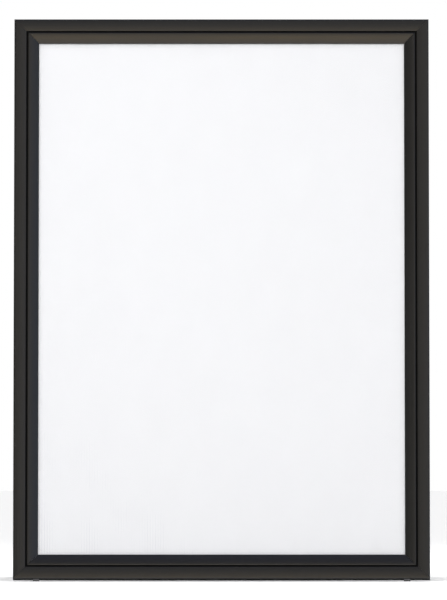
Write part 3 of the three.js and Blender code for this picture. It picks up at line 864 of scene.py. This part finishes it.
def add_foot(facing, sign):
    """A ribbed rubber foot round the frame's bottom edge, held by a cross-head screw at the back."""
    hand = HANDS[facing][sign]
    edge = -FRAME_H / 2

    def sole(z):
        return edge - (FOOT_LIFT + z * math.sin(TILT)) / math.cos(TILT)

    ribbed = []
    for i in range(SOLE_RIBS):
        z = FOOT_FRONT - 2 - i * RIB_PITCH
        root = sole(z) + RIB_DEEP
        ribbed += [(sole(z), z), (root, z - 0.3), (root, z - 0.9), (sole(z - 1.2), z - 1.2)]
    toe = [(0, FOOT_FRONT - 3), (edge - GAP, FOOT_FRONT), (sole(FOOT_FRONT), FOOT_FRONT),
           (sole(FOOT_FRONT - 2), FOOT_FRONT - 2)]
    heel = [(sole(0), 0), (sole(-FOOT_BACK), -FOOT_BACK), (edge + FOOT_RISE, -FOOT_BACK),
            (edge + FOOT_RISE, -GAP), (edge - GAP, -GAP)]
    outline = [
        *rounded(toe, [0, 0.5, SOLE_CORNER_R, 0], closed=False)[1:],
        *ribbed,
        *rounded(heel, [0, SOLE_CORNER_R, 2.2, 0.5, 0], closed=False),
    ]
    x = sign * FOOT_X
    bm = across_x([outline], x - FOOT_WIDTH / 2, x + FOOT_WIDTH / 2)
    finish_piece(f"foot_{facing}_{hand}_moulded", bm, face_matrix(facing), RUBBER, f"{facing}_frame",
                 [f"foot_{facing}_{hand}"], edge=0.4)
    crown = [(SCREW_R * math.sin(a), 0.5 + math.cos(a)) for a in (0.4, 0.8, 1.1, 1.35)]
    head = turned([(0, 1.5), *crown, (SCREW_R, 0.4), (SCREW_R - 0.1, 0), (0, 0)], 32)
    reach, half = SCREW_SLOT_REACH, SCREW_SLOT_HALF
    bar = [(-reach, -half), (reach, -half), (reach, half), (-reach, half)]
    for turn in (0, math.pi / 2):
        slot = across_x([bar], SCREW_SLOT_FLOOR, 3)
        slot.transform(Matrix.Rotation(turn, 4, "X"))
        head = carved(head, slot, "DIFFERENCE")
    place = Matrix.Translation((x, edge + FOOT_RISE - SCREW_BELOW_FOOT_TOP, -FOOT_BACK))
    back = place @ Matrix.Rotation(math.pi / 2, 4, "Y")
    finish_piece(f"foot_{facing}_{hand}_screw", head, face_matrix(facing) @ back, RIVET, f"{facing}_frame")


def finish_corner_keys(facing):
    """The keys keep their CAD solids, with a cast skin and softened edges."""
    for level in ("bottom", "top"):
        for hand in ("left", "right"):
            key = bpy.data.objects[f"{facing}_corner_key_{level}_{hand}"]
            key.data.materials.clear()
            key.data.materials.append(KEY)
            round_edges(key, 0.5)


for facing in FACES:
    add_profiles(facing)
    add_springs(facing)
    add_fluted_sheet(facing)
    add_clear_sheet(facing)
    finish_corner_keys(facing)
    for sign in (-1, 1):
        add_hinge_leaf(facing, sign)
        add_stay_bracket(facing, sign)
        add_foot(facing, sign)
for sign in (-1, 1):
    add_stay(sign)
    add_hinge_pin(sign)

# ---- Stage ----

# in metres, watts and watts a square metre
CAMERA_AWAY = 26.0
VIEW_HEIGHT = 0.940
CAMERA_X, CAMERA_Z = 0.0031, 0.4390
FLOOR_R = 12
FLOOR_LIGHT, FLOOR_LIGHT_SPREAD = 2.45, math.radians(80)


def add_camera():
    data = bpy.data.cameras.new("camera")
    data.sensor_width = 36
    face_y = from_hinge(FRAME_H / 2 - HINGE_BELOW_TOP, HINGE_BEHIND)[0] * MM
    data.lens = data.sensor_width * (CAMERA_AWAY + face_y) / VIEW_HEIGHT
    data.clip_start, data.clip_end = 1, 60
    camera = bpy.data.objects.new("camera", data)
    camera.location = (CAMERA_X, -CAMERA_AWAY, CAMERA_Z)
    camera.rotation_euler = (math.pi / 2, 0, 0)
    bpy.context.scene.collection.objects.link(camera)
    bpy.context.scene.camera = camera


def add_floor():
    bm = bmesh.new()
    bmesh.ops.create_circle(bm, cap_ends=True, segments=96, radius=FLOOR_R)
    mesh = bpy.data.meshes.new("floor")
    bm.to_mesh(mesh)
    bm.free()
    floor = bpy.data.objects.new("floor", mesh)
    pale = material_nodes("pale_floor")
    mesh.materials.append(pale.set(Base_Color=(0.85, 0.85, 0.85, 1), Roughness=0.9, Specular_IOR_Level=0.1))
    bpy.context.scene.collection.objects.link(floor)


def add_floor_light():
    """Even light straight down on the floor alone, to keep it pale under and around the board's shadow."""
    data = bpy.data.lights.new("floor_light", "SUN")
    data.energy, data.angle = FLOOR_LIGHT, FLOOR_LIGHT_SPREAD
    light = bpy.data.objects.new("floor_light", data)
    only = bpy.data.collections.new("floor_only")
    only.objects.link(bpy.data.objects["floor"])
    light.light_linking.receiver_collection = only
    light.visible_glossy = False
    bpy.context.scene.collection.objects.link(light)


def add_softbox(name, location, target, size, power):
    """A large soft light that isn't itself mirrored in the board."""
    data = bpy.data.lights.new(name, "AREA")
    data.size, data.energy = size, power
    light = bpy.data.objects.new(name, data)
    light.location = location
    light.rotation_euler = (Vector(target) - Vector(location)).to_track_quat("-Z", "Y").to_euler()
    light.visible_glossy = False
    bpy.context.scene.collection.objects.link(light)


EVEN_LIGHT = 0.34
# (name, place, what it points at, size, power)
SOFTBOXES = (
    ("key_light", (-0.25, -1.9, 1.35), (0, -0.1, 0.55), 1.5, 17.5),
    ("top_light", (-0.1, -0.5, 3.0), (0, -0.1, 0.5), 1.4, 9.0),
    ("rear_light", (0.6, 2.2, 2.3), (0, 0.1, 0.5), 1.6, 28.0),
)

# What the board mirrors, by height: (sine of the elevation, colour)
MIRRORED_BY_HEIGHT = (
    (-1.0, (1.0, 1.0, 1.0)),
    (-0.35, (1.7, 1.4, 1.0)),
    (-0.10, (3.0, 2.2, 1.10)),
    (0.07, (3.0, 2.2, 1.15)),
    (0.17, (1.30, 1.13, 0.85)),
    (0.42, (0.52, 0.51, 0.49)),
    (0.64, (0.28, 0.28, 0.31)),
    (0.87, (0.32, 0.35, 0.52)),
    (1.0, (0.40, 0.43, 0.55)),
)
# and how that changes from the viewer's left to the right: (sine of the azimuth, colour)
MIRRORED_ACROSS = (
    (-1.0, (0.14, 0.18, 0.26)),
    (-0.57, (0.16, 0.17, 0.12)),
    (-0.26, (0.50, 0.50, 0.46)),
    (0.0, (1.0, 1.0, 1.0)),
    (0.2, (1.12, 1.13, 1.15)),
    (0.57, (0.62, 0.88, 1.50)),
    (1.0, (0.16, 0.21, 0.30)),
)
MIRRORED_SCALE = 3.0  # a ramp holds its colours in 0..1


def add_world():
    """White behind the board, even light round it, and a soft sweep of tones for it to mirror."""
    world = bpy.data.worlds.new("studio")
    bpy.context.scene.world = world
    n = Nodes(world)
    n.tree.nodes.clear()

    def sweep(value, stops):
        node = n.add("ShaderNodeValToRGB", {0: n.math("MULTIPLY_ADD", value, 0.5, 0.5)})
        elements = node.color_ramp.elements
        while len(elements) < len(stops):
            elements.new(0.5)
        for element, (at, colour) in zip(elements, stops):
            element.position = at / 2 + 0.5
            element.color = (*(c / MIRRORED_SCALE for c in colour), 1)
        return node.outputs[0]

    x, y, z = n.add("ShaderNodeSeparateXYZ", {0: n.coordinates("Generated")}).outputs
    flat = n.add("ShaderNodeCombineXYZ", {0: x, 1: y}).outputs[0]
    reach = n.add("ShaderNodeVectorMath", {0: flat}, operation="LENGTH").outputs["Value"]
    across = n.math("DIVIDE", x, reach)
    mirrored = n.mix(1.0, sweep(z, MIRRORED_BY_HEIGHT), sweep(across, MIRRORED_ACROSS), "MULTIPLY")
    grey = n.add("ShaderNodeHueSaturation", {"Saturation": 0.1, "Value": 0.78, "Color": mirrored}).outputs[0]
    aside = n.ramp(n.math("ABSOLUTE", across), 0.08, 0.3)
    low_and_aside = n.math("MULTIPLY", n.ramp(z, 0.12, 0.3, 1.0, 0.0), aside)
    glossy = n.add("ShaderNodeBackground",
                   {"Color": n.mix(low_and_aside, mirrored, grey), "Strength": MIRRORED_SCALE**2})
    even = n.add("ShaderNodeBackground", {"Color": (1, 1, 1.02, 1), "Strength": EVEN_LIGHT})
    white = n.add("ShaderNodeBackground", {"Color": (1, 1, 1, 1), "Strength": 1.0})
    path = n.add("ShaderNodeLightPath")
    lit = n.add("ShaderNodeMixShader",
                {0: path.outputs["Is Glossy Ray"], 1: even.outputs[0], 2: glossy.outputs[0]})
    seen = n.add("ShaderNodeMixShader",
                 {0: path.outputs["Is Camera Ray"], 1: lit.outputs[0], 2: white.outputs[0]})
    n.add("ShaderNodeOutputWorld", {0: seen.outputs[0]})


add_camera()
add_floor()
add_floor_light()
for softbox in SOFTBOXES:
    add_softbox(*softbox)
add_world()
bpy.context.scene.view_settings.view_transform = "Standard"
